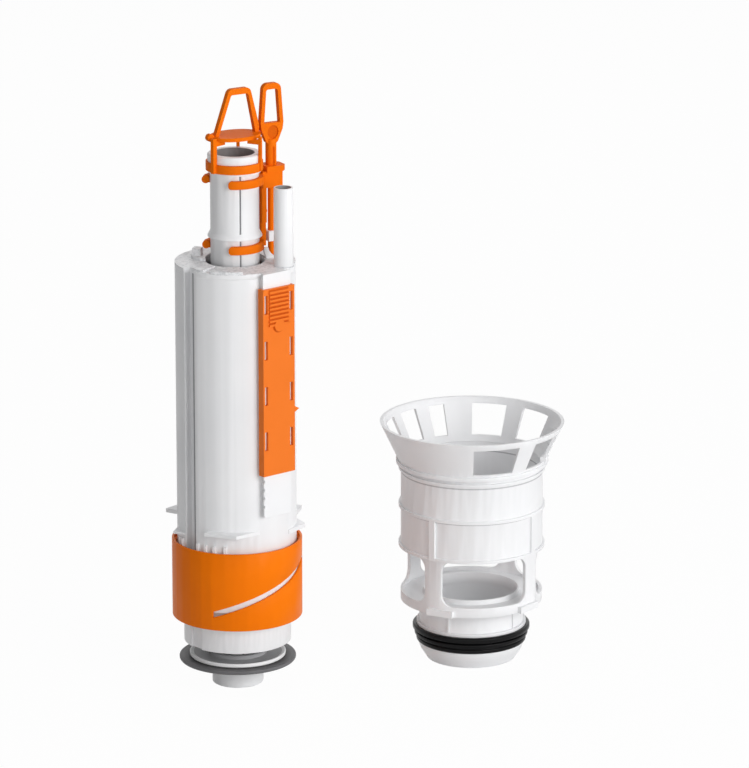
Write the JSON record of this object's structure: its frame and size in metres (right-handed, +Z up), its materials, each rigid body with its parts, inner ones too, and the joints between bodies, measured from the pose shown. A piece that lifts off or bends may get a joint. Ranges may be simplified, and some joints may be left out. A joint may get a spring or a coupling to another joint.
{
  "type": "toilet flush valve",
  "caption": "Dual-flush cistern valve: tube with pull bail and seal in a housing with a setting slider and throttle ring, beside its funnel basket.",
  "frame": {"origin": "middle of the basket's outlet opening, at the bottom of its spigot", "axes": "+Z up along the basket's and the valve's axes, +X to the viewer's right, +Y away from the viewer"},
  "size_m": [0.2121, 0.132, 0.3236],
  "materials": {
    "white_plastic": "satin",
    "orange_plastic": "satin",
    "grey_rubber": "matt",
    "black_rubber": "matt",
    "float_foam": "matt",
    "steel": "drawn"
  },
  "bodies": {
    "basket_and_housing": {"basket_body": "white_plastic", "basket_funnel": "white_plastic", "basket_lip_seal": "black_rubber", "lower_guide": "white_plastic", "housing_shell": "white_plastic", "housing_deck": "white_plastic", "slider_rail": "white_plastic", "refill_tube": "white_plastic", "rod_guide": "white_plastic", "half_float_tray": "white_plastic", "latch_bracket": "white_plastic", "latch_axle": "steel", "upper_guide": "white_plastic"},
    "flush_tube": {"overflow_tube": "white_plastic", "seal_nut": "white_plastic", "flush_seal": "grey_rubber", "seal_retainer": "white_plastic", "tube_o_ring": "black_rubber", "full_flush_bail": "orange_plastic", "half_flush_clip": "orange_plastic", "full_flush_float": "float_foam", "float_clip_low": "white_plastic", "float_clip_high": "white_plastic", "catch_collar": "white_plastic"},
    "short_flush_pull": {"half_flush_pull": "orange_plastic"},
    "volume_slider": {"volume_slider": "orange_plastic"},
    "throttle_ring": {"throttle_ring": "orange_plastic"},
    "throttle_sleeve": {"throttle_sleeve": "white_plastic"},
    "short_flush_float": {"half_flush_float": "float_foam"},
    "release_latch": {"release_latch": "white_plastic"}
  },
  "joints": [
    {"name": "tube_lift", "type": "slide", "parent": "basket_and_housing", "child": "flush_tube", "axis": [0, 0, 1], "range_m": [0, 0.008]},
    {"name": "short_pull_lift", "type": "slide", "parent": "flush_tube", "child": "short_flush_pull", "axis": [0, 0, 1], "range_m": [0, 0.006]},
    {"name": "volume_set", "type": "slide", "parent": "basket_and_housing", "child": "volume_slider", "axis": [0, 0, 1], "range_m": [-0.022, 0.005]},
    {"name": "throttle_turn", "type": "hinge", "parent": "basket_and_housing", "child": "throttle_ring", "pos_m": [-0.125, -0.044, 0.0385], "axis": [0, 0, 1], "range_deg": [0, 106]},
    {"name": "sleeve_drop", "type": "slide", "parent": "basket_and_housing", "child": "throttle_sleeve", "axis": [0, 0, 1], "range_m": [-0.02238, 0]},
    {"name": "short_float_rise", "type": "slide", "parent": "basket_and_housing", "child": "short_flush_float", "axis": [0, 0, 1], "range_m": [0, 0.006]},
    {"name": "latch_tilt", "type": "hinge", "parent": "basket_and_housing", "child": "release_latch", "pos_m": [-0.14866, -0.03766, 0.18725], "axis": [-0.2588, -0.9659, 0], "range_deg": [0, 7.4]}
  ],
  "couplings": [
    {"joint": "sleeve_drop", "follows": "throttle_turn", "m_per_rad": -0.012096},
    {"joint": "latch_tilt", "follows": "short_float_rise", "rad_per_m": 21.367}
  ]
}
